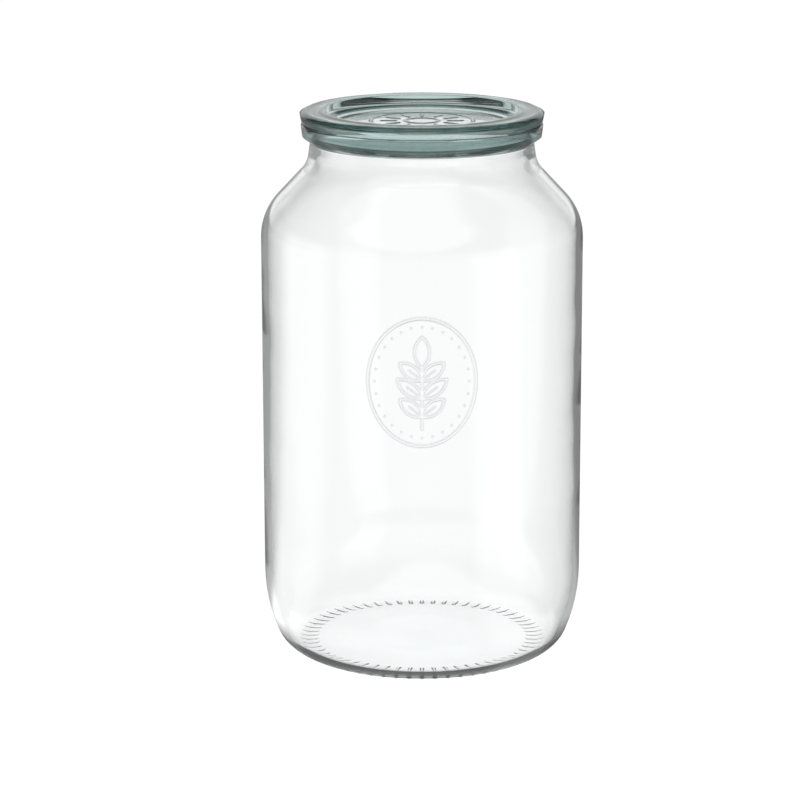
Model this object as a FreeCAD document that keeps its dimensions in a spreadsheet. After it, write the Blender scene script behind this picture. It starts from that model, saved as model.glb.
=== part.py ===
import FreeCAD, Part

import math
import os

import Sketcher

# A wide-mouthed glass canning jar with its loose glass lid, in millimetres.
#
# The jar stands on +Z with the origin at the middle of its foot. It is a blown
# and pressed piece of glass: a straight body, a rounded heel, a sloping
# shoulder, a short neck and a pressed rim that the lid lies on. Both pieces are
# turned forms, so each is revolved about Z from a profile in the XZ plane, where
# x is the radius and y is the height. The jar stands on a ring of short radial
# bars, the knurl, which keeps the hot glass off the belt when it is made.


# ---------------------------------------------------------------- driving sizes

SIZES = {
    # the jar's outside
    "body_radius": 72.9,
    "jar_height": 244.6,
    "shoulder_radius": 27.0,
    "shoulder_angle": 43.3,
    "neck_radius": 50.4,
    "neck_length": 6.25,
    "neck_taper": 8.0,
    "neck_hollow_radius": 13.0,
    # the heel and the foot
    "heel_height": 38.0,
    "heel_side_radius": 75.0,
    "heel_corner_radius": 15.0,
    "bearing_width": 4.0,
    "push_up": 1.0,
    # the glass
    "wall": 3.0,
    "neck_wall": 3.1,
    "base_wall": 3.4,
    "floor_fall": 1.5,
    # the pressed rim that carries the lid
    "rim_height": 8.2,
    "rim_overhang": 4.1,
    "rim_face": 5.2,
    "rim_root_fillet": 1.5,
    "rim_lower_fillet": 1.3,
    "rim_upper_fillet": 0.8,
    "mouth_fillet": 0.8,
    # the knurl under the foot
    "knurl_count": 60,
    "knurl_height": 0.5,
    "knurl_width": 0.9,
    "knurl_inside": 4.5,
    "knurl_outside": 4.0,
    "knurl_draft": 35.0,
    "knurl_root": 1.2,
    "knurl_rise": 8.0,
    # the lid
    "lid_overhang": 0.5,
    "lid_thickness": 5.8,
    "ring_width": 11.8,
    "recess_depth": 5.1,
    "recess_draft": 30.0,
    "plug_clearance": 0.8,
    "plug_depth": 4.2,
    "plug_draft": 35.0,
    "lid_upper_fillet": 1.6,
    "lid_lower_fillet": 0.8,
    "ring_fillet": 1.4,
    "recess_fillet": 1.8,
    "plug_fillet": 1.2,
}


def write_sheet(document):
    """Put the driving sizes in a spreadsheet, a name, a number and an alias to each row."""
    sheet = document.addObject("Spreadsheet::Sheet", "sizes")
    for row, (name, value) in enumerate(SIZES.items(), start=1):
        sheet.set("A%d" % row, name)
        sheet.set("B%d" % row, str(value))
        sheet.setAlias("B%d" % row, name)
    document.recompute()
    return sheet


# --------------------------------------------------------- places worked out once

MOUTH = "(sizes.neck_radius - sizes.neck_wall)"
RIM = "(sizes.neck_radius + sizes.rim_overhang)"


def mouth_radius():
    """Radius of the jar's bore at the mouth."""
    return SIZES["neck_radius"] - SIZES["neck_wall"]


def rim_radius():
    """Outer radius of the pressed rim."""
    return SIZES["neck_radius"] + SIZES["rim_overhang"]


def neck_top():
    """Radius and height of the corner where the neck meets the rim's underside."""
    return SIZES["neck_radius"], SIZES["jar_height"] - SIZES["rim_height"]


def rim_corner():
    """Radius and height of the rim's lower edge."""
    return rim_radius(), SIZES["jar_height"] - SIZES["rim_face"]


def heel_turn():
    """Slope of the glass, in radians, where the heel's two arcs meet.

    The long side arc is centred level with the heel's top, the corner arc one
    radius above the foot, and they touch on the line through both centres.
    """
    rise = SIZES["heel_height"] - SIZES["knurl_height"] - SIZES["heel_corner_radius"]
    return math.asin(rise / (SIZES["heel_side_radius"] - SIZES["heel_corner_radius"]))


def bearing_radius():
    """Radius of the circle where the heel's corner arc runs into the flat foot."""
    reach = (SIZES["heel_side_radius"] - SIZES["heel_corner_radius"]) * math.cos(heel_turn())
    return SIZES["body_radius"] - SIZES["heel_side_radius"] + reach


def shoulder_start():
    """Height at which the straight body ends, found by coming down from the rim.

    The neck line, the hollow arc, the slope and the round arc each take up some
    height, and the slope is as long as the radius left between the two arcs needs.
    """
    slope = math.radians(SIZES["shoulder_angle"])
    lean = math.radians(SIZES["neck_taper"])
    hollow = SIZES["neck_hollow_radius"]
    radius, height = neck_top()
    foot_radius = radius + SIZES["neck_length"] * math.tan(lean) + hollow * (math.cos(lean) - math.cos(slope))
    foot_height = height - SIZES["neck_length"] + hollow * (math.sin(lean) - math.sin(slope))
    top_radius = SIZES["body_radius"] - SIZES["shoulder_radius"] * (1 - math.cos(slope))
    top_height = foot_height - (top_radius - foot_radius) / math.tan(slope)
    return top_height - SIZES["shoulder_radius"] * math.sin(slope)


# ------------------------------------------------------------- drawing a profile

class Profile:
    """A closed outline in a sketch, drawn as a chain of lines and arcs.

    The first drawing only has to be near the shape: the constraints, which read
    the sheet, are what sets it.
    """

    def __init__(self, body, name, plane):
        self.sketch = body.newObject("Sketcher::SketchObject", name)
        origin = [f for f in body.Origin.OriginFeatures if f.Role == plane]
        self.sketch.AttachmentSupport = (origin[0], [""])
        self.sketch.MapMode = "FlatFace"

    def line(self, start, end):
        """Add a straight edge and return its number."""
        first = FreeCAD.Vector(start[0], start[1], 0)
        last = FreeCAD.Vector(end[0], end[1], 0)
        return self.sketch.addGeometry(Part.LineSegment(first, last), False)

    def arc(self, centre, radius, start_angle, end_angle):
        """Add an arc, anticlockwise from start to end in radians, and return its number."""
        middle = FreeCAD.Vector(centre[0], centre[1], 0)
        circle = Part.Circle(middle, FreeCAD.Vector(0, 0, 1), radius)
        return self.sketch.addGeometry(Part.ArcOfCircle(circle, start_angle, end_angle), False)

    def tie(self, kind, *where):
        """Add a constraint with no size."""
        self.sketch.addConstraint(Sketcher.Constraint(kind, *where))

    def size(self, name, kind, where, value, expression):
        """Add a named constraint whose value follows the sheet."""
        number = self.sketch.addConstraint(Sketcher.Constraint(kind, *where, value))
        self.sketch.renameConstraint(number, name)
        self.sketch.setExpression("Constraints." + name, expression)

    def read(self, name, kind, where, value):
        """Add a named measure that sets nothing, for another sketch to follow."""
        number = self.sketch.addConstraint(Sketcher.Constraint(kind, *where, value))
        self.sketch.renameConstraint(number, name)
        self.sketch.setDriving(number, False)


ORIGIN = (-1, 1)
X_AXIS = -1
Y_AXIS = -2
START = 1
END = 2
CENTRE = 3


def shoulder_and_neck(profile, body_line, inset, neck_end, neck_angle):
    """Carry the chain from the top of a body line to a neck line.

    The shoulder is an arc, a straight slope and a hollow arc, each tangent to
    the next. A skin that lies inset within the outer one has the same centres,
    so its round arc is smaller and its hollow arc larger by as much. Returns the
    number of the neck line, which ends at neck_end and leans by neck_angle.
    """
    slope = math.radians(SIZES["shoulder_angle"])
    lean = math.radians(neck_angle)
    round_radius = SIZES["shoulder_radius"] - inset
    hollow_radius = SIZES["neck_hollow_radius"] + inset
    centre = (SIZES["body_radius"] - SIZES["shoulder_radius"], shoulder_start())
    top = (centre[0] + round_radius * math.cos(slope), centre[1] + round_radius * math.sin(slope))
    # the hollow arc's centre is where the slope and the neck line, both moved out
    # by its radius, cross
    along = (-math.sin(slope), math.cos(slope))
    out = (math.cos(slope), math.sin(slope))
    neck_out = (math.cos(lean), math.sin(lean))
    gap = (neck_end[0] + hollow_radius * neck_out[0] - top[0] - hollow_radius * out[0],
           neck_end[1] + hollow_radius * neck_out[1] - top[1] - hollow_radius * out[1])
    closing = along[0] * neck_out[0] + along[1] * neck_out[1]
    run = (gap[0] * neck_out[0] + gap[1] * neck_out[1]) / closing
    foot = (top[0] + run * along[0], top[1] + run * along[1])
    hollow = (foot[0] + hollow_radius * out[0], foot[1] + hollow_radius * out[1])
    turn = (hollow[0] - hollow_radius * neck_out[0], hollow[1] - hollow_radius * neck_out[1])

    shoulder = profile.arc(centre, round_radius, 0, slope)
    cone = profile.line(top, foot)
    hollow_arc = profile.arc(hollow, hollow_radius, math.pi + lean, math.pi + slope)
    neck = profile.line(turn, neck_end)
    profile.tie("Tangent", body_line, END, shoulder, START)
    profile.tie("Tangent", shoulder, END, cone, START)
    profile.tie("Tangent", cone, END, hollow_arc, END)
    profile.tie("Tangent", hollow_arc, START, neck, START)
    inward = "" if inset == 0 else " - sizes.wall"
    outward = "" if inset == 0 else " + sizes.wall"
    profile.size("shoulder_radius", "Radius", (shoulder,), round_radius, "sizes.shoulder_radius" + inward)
    profile.size("hollow_radius", "Radius", (hollow_arc,), hollow_radius,
                 "sizes.neck_hollow_radius" + outward)
    profile.size("shoulder_angle", "Angle", (cone,), math.pi / 2 + slope,
                 "(90 + sizes.shoulder_angle) * 1deg")
    return neck


def draw_outside(body):
    """The jar's outer skin, closed along the axis, with the push-up under the foot."""
    profile = Profile(body, "outside", "XZ_Plane")
    foot = SIZES["knurl_height"]
    corner = SIZES["heel_corner_radius"]
    side = SIZES["heel_side_radius"]
    turn = heel_turn()
    ring_out = bearing_radius()
    ring_in = ring_out - SIZES["bearing_width"]
    crown = foot + SIZES["push_up"]
    dome = (ring_in ** 2 + SIZES["push_up"] ** 2) / (2 * SIZES["push_up"])
    dome_edge = math.asin(ring_in / dome)
    body_radius = SIZES["body_radius"]
    top = SIZES["jar_height"]

    push_up = profile.arc((0, crown - dome), dome, math.pi / 2 - dome_edge, math.pi / 2)
    bearing = profile.line((ring_in, foot), (ring_out, foot))
    heel_corner = profile.arc((ring_out, foot + corner), corner, -math.pi / 2, -turn)
    heel_side = profile.arc((body_radius - side, SIZES["heel_height"]), side, -turn, 0)
    body_line = profile.line((body_radius, SIZES["heel_height"]), (body_radius, shoulder_start()))
    neck = shoulder_and_neck(profile, body_line, 0, neck_top(), SIZES["neck_taper"])
    underside = profile.line(neck_top(), rim_corner())
    rim_side = profile.line(rim_corner(), (rim_radius(), top))
    cover = profile.line((rim_radius(), top), (0, top))
    axis = profile.line((0, top), (0, crown))

    profile.tie("Coincident", push_up, START, bearing, START)
    profile.tie("Tangent", bearing, END, heel_corner, START)
    profile.tie("Tangent", heel_corner, END, heel_side, START)
    profile.tie("Tangent", heel_side, END, body_line, START)
    profile.tie("Coincident", neck, END, underside, START)
    profile.tie("Coincident", underside, END, rim_side, START)
    profile.tie("Coincident", rim_side, END, cover, START)
    profile.tie("Coincident", cover, END, axis, START)
    profile.tie("Coincident", axis, END, push_up, END)
    profile.tie("Horizontal", bearing)
    profile.tie("Horizontal", cover)
    profile.tie("Vertical", body_line)
    profile.tie("Vertical", rim_side)
    profile.tie("PointOnObject", axis, START, Y_AXIS)
    profile.tie("PointOnObject", axis, END, Y_AXIS)
    profile.tie("PointOnObject", push_up, CENTRE, Y_AXIS)

    profile.size("foot_height", "DistanceY", (*ORIGIN, bearing, START), foot, "sizes.knurl_height")
    profile.size("crown_height", "DistanceY", (*ORIGIN, axis, END), crown,
                 "sizes.knurl_height + sizes.push_up")
    profile.size("bearing_width", "DistanceX", (bearing, START, bearing, END), SIZES["bearing_width"],
                 "sizes.bearing_width")
    profile.size("heel_corner_radius", "Radius", (heel_corner,), corner, "sizes.heel_corner_radius")
    profile.size("heel_side_radius", "Radius", (heel_side,), side, "sizes.heel_side_radius")
    profile.size("heel_height", "DistanceY", (*ORIGIN, body_line, START), SIZES["heel_height"],
                 "sizes.heel_height")
    profile.size("body_radius", "DistanceX", (*ORIGIN, body_line, START), body_radius, "sizes.body_radius")
    profile.size("neck_taper", "Angle", (neck,), math.radians(90 + SIZES["neck_taper"]),
                 "(90 + sizes.neck_taper) * 1deg")
    profile.size("neck_radius", "DistanceX", (*ORIGIN, neck, END), neck_top()[0], "sizes.neck_radius")
    profile.size("neck_top", "DistanceY", (*ORIGIN, neck, END), neck_top()[1],
                 "sizes.jar_height - sizes.rim_height")
    profile.size("neck_length", "DistanceY", (neck, START, neck, END), SIZES["neck_length"],
                 "sizes.neck_length")
    profile.size("rim_radius", "DistanceX", (*ORIGIN, rim_side, START), rim_radius(), RIM)
    profile.size("rim_corner", "DistanceY", (*ORIGIN, rim_side, START), rim_corner()[1],
                 "sizes.jar_height - sizes.rim_face")
    profile.size("jar_height", "DistanceY", (*ORIGIN, cover, START), top, "sizes.jar_height")
    profile.read("shoulder_start", "DistanceY", (*ORIGIN, body_line, END), shoulder_start())
    profile.read("bearing_radius", "DistanceX", (*ORIGIN, bearing, END), ring_out)
    return profile.sketch


def draw_inside(body):
    """The jar's inner skin, closed along the axis, open to the rim at the top."""
    profile = Profile(body, "inside", "XZ_Plane")
    wall = SIZES["wall"]
    fall = math.radians(SIZES["floor_fall"])
    corner = SIZES["heel_corner_radius"] - wall
    side = SIZES["heel_side_radius"] - wall
    side_centre = (SIZES["body_radius"] - SIZES["heel_side_radius"], SIZES["heel_height"])
    floor = SIZES["knurl_height"] + SIZES["push_up"] + SIZES["base_wall"]
    inner = SIZES["body_radius"] - wall
    bore = mouth_radius()
    top = SIZES["jar_height"]
    # the corner arc's centre lies one radius above the falling floor and one
    # radius inside the side arc: step out along the floor until both hold
    reach = side - corner
    level = (0, floor + corner / math.cos(fall))
    offset = (side_centre[0] - level[0], side_centre[1] - level[1])
    along = offset[0] * math.cos(fall) - offset[1] * math.sin(fall)
    across = offset[0] ** 2 + offset[1] ** 2 - reach ** 2
    step = along + math.sqrt(along ** 2 - across)
    centre = (level[0] + step * math.cos(fall), level[1] - step * math.sin(fall))
    meet = math.atan2(centre[1] - side_centre[1], centre[0] - side_centre[0])
    floor_end = (centre[0] - corner * math.sin(fall), centre[1] - corner * math.cos(fall))

    floor_line = profile.line((0, floor), floor_end)
    corner_arc = profile.arc(centre, corner, -math.pi / 2 - fall, meet)
    side_arc = profile.arc(side_centre, side, meet, 0)
    body_line = profile.line((inner, SIZES["heel_height"]), (inner, shoulder_start()))
    bore_line = shoulder_and_neck(profile, body_line, wall, (bore, top), 0)
    cover = profile.line((bore, top), (0, top))
    axis = profile.line((0, top), (0, floor))

    profile.tie("Tangent", floor_line, END, corner_arc, START)
    profile.tie("Tangent", corner_arc, END, side_arc, START)
    profile.tie("Tangent", side_arc, END, body_line, START)
    profile.tie("Coincident", bore_line, END, cover, START)
    profile.tie("Coincident", cover, END, axis, START)
    profile.tie("Coincident", axis, END, floor_line, START)
    profile.tie("Vertical", body_line)
    profile.tie("Vertical", bore_line)
    profile.tie("Horizontal", cover)
    profile.tie("PointOnObject", axis, START, Y_AXIS)
    profile.tie("PointOnObject", axis, END, Y_AXIS)

    profile.size("floor_height", "DistanceY", (*ORIGIN, axis, END), floor,
                 "sizes.knurl_height + sizes.push_up + sizes.base_wall")
    profile.size("floor_fall", "Angle", (floor_line,), -fall, "-sizes.floor_fall * 1deg")
    profile.size("corner_radius", "Radius", (corner_arc,), corner, "sizes.heel_corner_radius - sizes.wall")
    profile.size("side_radius", "Radius", (side_arc,), side, "sizes.heel_side_radius - sizes.wall")
    profile.size("side_height", "DistanceY", (*ORIGIN, body_line, START), SIZES["heel_height"],
                 "sizes.heel_height")
    profile.size("inner_radius", "DistanceX", (*ORIGIN, body_line, START), inner,
                 "sizes.body_radius - sizes.wall")
    profile.size("shoulder_start", "DistanceY", (*ORIGIN, body_line, END), shoulder_start(),
                 "outside.Constraints.shoulder_start")
    profile.size("bore_radius", "DistanceX", (*ORIGIN, bore_line, END), bore, MOUTH)
    profile.size("bore_top", "DistanceY", (*ORIGIN, bore_line, END), top, "sizes.jar_height")
    return profile.sketch


def draw_knurl(body):
    """The footprint of one knurl bar: a thin hexagon along X across the bearing ring."""
    profile = Profile(body, "knurl_bar", "XY_Plane")
    half = SIZES["knurl_width"] / 2
    first = bearing_radius() - SIZES["knurl_inside"]
    last = bearing_radius() + SIZES["knurl_outside"]
    corners = [(first, 0), (first + half, -half), (last - half, -half), (last, 0), (last - half, half),
               (first + half, half)]
    sides = [profile.line(start, end) for start, end in zip(corners, corners[1:] + corners[:1])]
    tip_in, near, _, tip_out, far, _ = sides
    for side, following in zip(sides, sides[1:] + sides[:1]):
        profile.tie("Coincident", side, END, following, START)
    profile.tie("Horizontal", near)
    profile.tie("Horizontal", far)
    profile.tie("PointOnObject", tip_in, START, X_AXIS)
    profile.tie("PointOnObject", tip_out, START, X_AXIS)

    bearing = "outside.Constraints.bearing_radius"
    half_width = "sizes.knurl_width / 2"
    profile.size("inner_end", "DistanceX", (*ORIGIN, tip_in, START), first,
                 bearing + " - sizes.knurl_inside * 1mm")
    profile.size("outer_end", "DistanceX", (*ORIGIN, tip_out, START), last,
                 bearing + " + sizes.knurl_outside * 1mm")
    profile.size("near_half", "DistanceY", (near, START, *ORIGIN), half, half_width)
    profile.size("far_half", "DistanceY", (*ORIGIN, far, START), half, half_width)
    profile.size("near_inner_tip", "DistanceX", (tip_in, START, near, START), half, half_width)
    profile.size("far_inner_tip", "DistanceX", (tip_in, START, far, END), half, half_width)
    profile.size("near_outer_tip", "DistanceX", (near, END, tip_out, START), half, half_width)
    profile.size("far_outer_tip", "DistanceX", (far, START, tip_out, START), half, half_width)
    return profile.sketch


def draw_knurl_rise(body):
    """What is cut from under the bars outside the bearing ring, where the heel curves up.

    The upper side is the cone that the bars' outer halves end on, and the lower
    side lies one bar height under the floor.
    """
    profile = Profile(body, "knurl_rise", "XZ_Plane")
    first = bearing_radius()
    last = first + SIZES["knurl_outside"] + SIZES["knurl_root"]
    depth = SIZES["knurl_height"]
    rise = math.radians(SIZES["knurl_rise"])
    corners = [(first, 0), (first, -depth), (last, -depth), (last, (last - first) * math.tan(rise))]
    sides = [profile.line(start, end) for start, end in zip(corners, corners[1:] + corners[:1])]
    near, under, far, cone = sides
    for side, following in zip(sides, sides[1:] + sides[:1]):
        profile.tie("Coincident", side, END, following, START)
    profile.tie("Vertical", near)
    profile.tie("Vertical", far)
    profile.tie("Horizontal", under)
    profile.tie("PointOnObject", near, START, X_AXIS)

    profile.size("first_radius", "DistanceX", (*ORIGIN, near, START), first,
                 "outside.Constraints.bearing_radius")
    profile.size("reach", "DistanceX", (under, START, under, END), last - first,
                 "sizes.knurl_outside + sizes.knurl_root")
    profile.size("depth", "DistanceY", (near, END, near, START), depth, "sizes.knurl_height")
    profile.size("rise", "Angle", (cone,), rise - math.pi, "(sizes.knurl_rise - 180) * 1deg")
    return profile.sketch


def lid_corners():
    """Corners of half the lid's section, from the plug's middle round to the recess's.

    The face that lies on the rim is at height 0.
    """
    edge = rim_radius() + SIZES["lid_overhang"]
    top = SIZES["lid_thickness"]
    floor = top - SIZES["recess_depth"]
    ring = edge - SIZES["ring_width"]
    recess = ring - SIZES["recess_depth"] * math.tan(math.radians(SIZES["recess_draft"]))
    plug = mouth_radius() - SIZES["plug_clearance"]
    plug_foot = plug - SIZES["plug_depth"] * math.tan(math.radians(SIZES["plug_draft"]))
    depth = -SIZES["plug_depth"]
    return [(0, depth), (plug_foot, depth), (plug, 0), (edge, 0), (edge, top), (ring, top),
            (recess, floor), (0, floor)]


def draw_lid(body):
    """Half the lid's section, with the face that lies on the rim at height 0."""
    profile = Profile(body, "section", "XZ_Plane")
    corners = lid_corners()
    _, _, (plug, _), (edge, _), (_, top), _, _, _ = corners
    sides = [profile.line(start, end) for start, end in zip(corners, corners[1:] + corners[:1])]
    under, plug_side, seat, rim, ring_top, recess_side, recess_floor, axis = sides
    for side, following in zip(sides, sides[1:] + sides[:1]):
        profile.tie("Coincident", side, END, following, START)
    for side in (under, seat, ring_top, recess_floor):
        profile.tie("Horizontal", side)
    profile.tie("Vertical", rim)
    profile.tie("PointOnObject", axis, START, Y_AXIS)
    profile.tie("PointOnObject", axis, END, Y_AXIS)
    profile.tie("PointOnObject", seat, START, X_AXIS)

    profile.size("edge_radius", "DistanceX", (*ORIGIN, rim, START), edge, RIM + " + sizes.lid_overhang")
    profile.size("plug_radius", "DistanceX", (*ORIGIN, seat, START), plug, MOUTH + " - sizes.plug_clearance")
    profile.size("plug_depth", "DistanceY", (under, START, seat, START), SIZES["plug_depth"],
                 "sizes.plug_depth")
    profile.size("plug_lean", "Angle", (plug_side,), math.radians(90 - SIZES["plug_draft"]),
                 "(90 - sizes.plug_draft) * 1deg")
    profile.size("thickness", "DistanceY", (rim, START, rim, END), top, "sizes.lid_thickness")
    profile.size("ring_width", "DistanceX", (ring_top, END, ring_top, START), SIZES["ring_width"],
                 "sizes.ring_width")
    profile.size("recess_depth", "DistanceY", (recess_floor, END, ring_top, START), SIZES["recess_depth"],
                 "sizes.recess_depth")
    profile.size("recess_lean", "Angle", (recess_side,), -math.radians(90 + SIZES["recess_draft"]),
                 "-(90 + sizes.recess_draft) * 1deg")
    return profile.sketch


# -------------------------------------------------------------- turned features

def turn(body, kind, name, sketch):
    """Add a full turn of the sketch about Z, as material or as a cut."""
    feature = body.newObject("PartDesign::" + kind, name)
    feature.Profile = sketch
    feature.ReferenceAxis = (sketch, ["V_Axis"])
    feature.Angle = 360
    sketch.Visibility = False
    return feature


def circle_edge(shape, radius, height):
    """Name of the shape's circular edge about Z at this radius and height."""
    def miss(edge):
        if edge.Degenerated or not isinstance(edge.Curve, Part.Circle):
            return math.inf
        centre = edge.Curve.Center
        return math.hypot(edge.Curve.Radius - radius, centre.z - height) + math.hypot(centre.x, centre.y)

    misses = [miss(edge) for edge in shape.Edges]
    number = misses.index(min(misses))
    if misses[number] > 1e-3:
        raise ValueError("no edge at radius %.3f, height %.3f" % (radius, height))
    return "Edge%d" % (number + 1)


def round_edge(body, name, corner, alias):
    """Fillet the circular edge at a corner of the section by a size from the sheet."""
    base = body.Tip
    fillet = body.newObject("PartDesign::Fillet", name)
    fillet.Base = (base, [circle_edge(base.Shape, *corner)])
    fillet.setExpression("Radius", "sizes." + alias)
    body.Document.recompute()
    return fillet


# --------------------------------------------------------------------- the jar

def build_jar(document):
    """The jar: a turned blank, hollowed, with its rim rounded and its foot knurled."""
    body = document.addObject("PartDesign::Body", "jar")
    body.Label = "jar"
    turn(body, "Revolution", "blank", draw_outside(body))
    document.recompute()
    solid_volume = body.Shape.Volume
    turn(body, "Groove", "hollow", draw_inside(body))
    document.recompute()
    if body.Shape.Volume > 0.5 * solid_volume:
        raise ValueError("the hollow cut nothing")

    top = SIZES["jar_height"]
    round_edge(body, "rim_root", neck_top(), "rim_root_fillet")
    round_edge(body, "rim_lower_edge", rim_corner(), "rim_lower_fillet")
    round_edge(body, "rim_upper_edge", (rim_radius(), top), "rim_upper_fillet")
    round_edge(body, "mouth_edge", (mouth_radius(), top), "mouth_fillet")

    bar = body.newObject("PartDesign::Pad", "knurl")
    bar.Profile = draw_knurl(body)
    bar.setExpression("Length", "sizes.knurl_height + sizes.knurl_root")
    bar.setExpression("TaperAngle", "sizes.knurl_draft")
    ring = body.newObject("PartDesign::PolarPattern", "knurl_ring")
    ring.Originals = [bar]
    ring.Axis = (bar.Profile[0], ["N_Axis"])
    ring.Angle = 360
    ring.setExpression("Occurrences", "sizes.knurl_count")
    body.Tip = ring
    document.recompute()
    turn(body, "Groove", "knurl_end", draw_knurl_rise(body))
    document.recompute()
    soles = [face for face in body.Shape.Faces if abs(face.BoundBox.ZMax) < 1e-4]
    if len(soles) != SIZES["knurl_count"]:
        raise ValueError("the knurl has %d bars" % len(soles))
    return body


# --------------------------------------------------------------------- the lid

def build_lid(document):
    """The lid: a turned disc with a raised ring above and a plug below, lying on the rim."""
    body = document.addObject("PartDesign::Body", "lid")
    body.Label = "lid"
    turn(body, "Revolution", "disc", draw_lid(body))
    document.recompute()

    _, plug_foot, _, lower_edge, upper_edge, ring, recess, _ = lid_corners()
    round_edge(body, "outer_upper_edge", upper_edge, "lid_upper_fillet")
    round_edge(body, "outer_lower_edge", lower_edge, "lid_lower_fillet")
    round_edge(body, "ring_edge", ring, "ring_fillet")
    round_edge(body, "recess_corner", recess, "recess_fillet")
    round_edge(body, "plug_edge", plug_foot, "plug_fillet")
    body.setExpression("Placement.Base.z", "sizes.jar_height")
    document.recompute()
    return body


# ------------------------------------------------------------ checks and files

def check(document, pieces):
    """Stop if any object failed, or if a piece isn't one valid solid."""
    for item in document.Objects:
        if "Invalid" in item.State or "Error" in item.State:
            raise ValueError("%s failed: %s" % (item.Label, item.State))
    for piece in pieces:
        shape = piece.Shape
        if shape.isNull() or not shape.isValid() or len(shape.Solids) != 1:
            raise ValueError("%s isn't one valid solid" % piece.Label)
        box = shape.optimalBoundingBox(False)
        print("%s: %.1f x %.1f x %.1f mm, %.1f cm3" % (
            piece.Label, box.XLength, box.YLength, box.ZLength, shape.Volume / 1000))


def main():
    """Build the document and write one STEP file for each piece."""
    document = FreeCAD.newDocument("canning_jar")
    write_sheet(document)
    pieces = [build_jar(document), build_lid(document)]
    check(document, pieces)
    os.makedirs("parts", exist_ok=True)
    for piece in pieces:
        piece.Shape.exportStep("parts/%s.step" % piece.Label)


main()
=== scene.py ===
# %% [markdown]
# # A wide-mouthed glass canning jar
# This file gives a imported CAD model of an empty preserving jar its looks: the
# glass, the raised badge, the knurled foot, the studio and the camera.
# Blender works in metres. The jar stands at the origin with +Z up, and the side
# that carries the badge faces -Y, towards the camera.

# %% Load the frame
import math

import bpy
import mathutils
import numpy as np
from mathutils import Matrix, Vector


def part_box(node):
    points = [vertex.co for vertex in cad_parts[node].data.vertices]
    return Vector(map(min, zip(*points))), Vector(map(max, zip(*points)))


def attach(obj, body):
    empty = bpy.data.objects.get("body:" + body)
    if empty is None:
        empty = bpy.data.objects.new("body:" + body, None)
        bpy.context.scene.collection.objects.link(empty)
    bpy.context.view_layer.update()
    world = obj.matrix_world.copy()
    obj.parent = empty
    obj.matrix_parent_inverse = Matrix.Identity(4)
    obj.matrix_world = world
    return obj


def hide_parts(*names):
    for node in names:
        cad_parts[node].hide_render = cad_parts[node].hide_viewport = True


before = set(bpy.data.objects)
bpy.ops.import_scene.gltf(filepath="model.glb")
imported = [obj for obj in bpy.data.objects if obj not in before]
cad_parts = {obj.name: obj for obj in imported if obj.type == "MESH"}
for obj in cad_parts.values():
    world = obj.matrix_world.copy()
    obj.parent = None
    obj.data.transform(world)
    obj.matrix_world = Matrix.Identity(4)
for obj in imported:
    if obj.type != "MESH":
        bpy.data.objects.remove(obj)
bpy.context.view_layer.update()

# %% [markdown]
# ## Sizes
# The frame says how wide and how high the two pieces are, so those numbers are
# read from it. What lies between, such as the slope of the shoulder, is given
# here in millimetres. Both pieces are turned forms, so a place on them is a
# radius and a height.

# %% Read the driving sizes
MM = 0.001
jar_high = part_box("jar")[1]
lid_low, lid_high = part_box("lid")
BODY = jar_high.x / MM
JAR_TOP = jar_high.z / MM
LID_EDGE = lid_high.x / MM
LID_TOP = lid_high.z / MM
LID_FOOT = lid_low.z / MM
WALL = 3.0
RIM = LID_EDGE - 0.5
MOUTH = 47.3
print("body radius %.1f, jar height %.1f, lid radius %.1f mm" % (BODY, JAR_TOP, LID_EDGE))

# %% [markdown]
# ## An outline with rounded corners
# A designer draws a turned glass as straight runs with a rounding at each corner.
# The outline could be typed in as a long list of points, but then no one could
# read the radii from it. Here each corner is a radius, a height and a rounding,
# and a function puts the arc in.


# %% Draw an outline from its corners
def rounded(corners, step=4.0):
    """Path through corners given as (radius, height, rounding).

    An arc of radius R that touches both sides of a corner which turns by A starts
    and ends R times tan(A / 2) from it. Its centre lies R to the inside of the turn.
    Where two arcs meet, the points that fall within 0.1 mm of the one before go.
    """
    corners = np.asarray(corners, float)
    places = corners[:, :2]
    path = [places[:1]]
    for before, corner, after, radius in zip(places, places[1:], places[2:], corners[1:-1, 2]):
        entry = (corner - before) / np.linalg.norm(corner - before)
        leaving = (after - corner) / np.linalg.norm(after - corner)
        turn = math.atan2(entry[0] * leaving[1] - entry[1] * leaving[0], entry @ leaving)
        if radius == 0 or turn == 0:
            path.append(corner[None])
            continue
        side = math.copysign(1, turn)
        start = corner - entry * radius * math.tan(abs(turn) / 2)
        to_centre = side * radius * np.array([-entry[1], entry[0]])
        count = max(2, math.ceil(abs(math.degrees(turn)) / step))
        angles = np.linspace(0, turn, count + 1)[:, None]
        spoke = -to_centre
        swung = np.array([-spoke[1], spoke[0]])
        path.append(start + to_centre + np.cos(angles) * spoke + np.sin(angles) * swung)
    path = np.concatenate(path + [places[-1:]])
    apart = np.linalg.norm(np.diff(path, axis=0), axis=1) > 0.1
    return path[np.concatenate([[True], apart])]


def travelled(path):
    """Length run along the path at each of its points."""
    steps = np.linalg.norm(np.diff(path, axis=0), axis=1)
    return np.concatenate([[0], np.cumsum(steps)])


def divided(path, spacing):
    """The same path with every run longer than the spacing cut into equal parts."""
    steps = np.linalg.norm(np.diff(path, axis=0), axis=1)
    parts = np.maximum(1, np.ceil(steps / spacing)).astype(int)
    first = np.repeat(np.arange(len(parts)), parts)
    share = (np.arange(parts.sum()) - np.repeat(np.cumsum(parts) - parts, parts)) / np.repeat(parts, parts)
    points = path[first] + share[:, None] * (path[first + 1] - path[first])
    return np.concatenate([points, path[-1:]])


# %% [markdown]
# ## The jar's outline
# The outline runs from the middle of the foot, out and up the outside, over the
# rim, and down the inside to the middle of the floor. A corner without a rounding
# only divides a run: two of them mark where the badge starts and ends.

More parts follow.
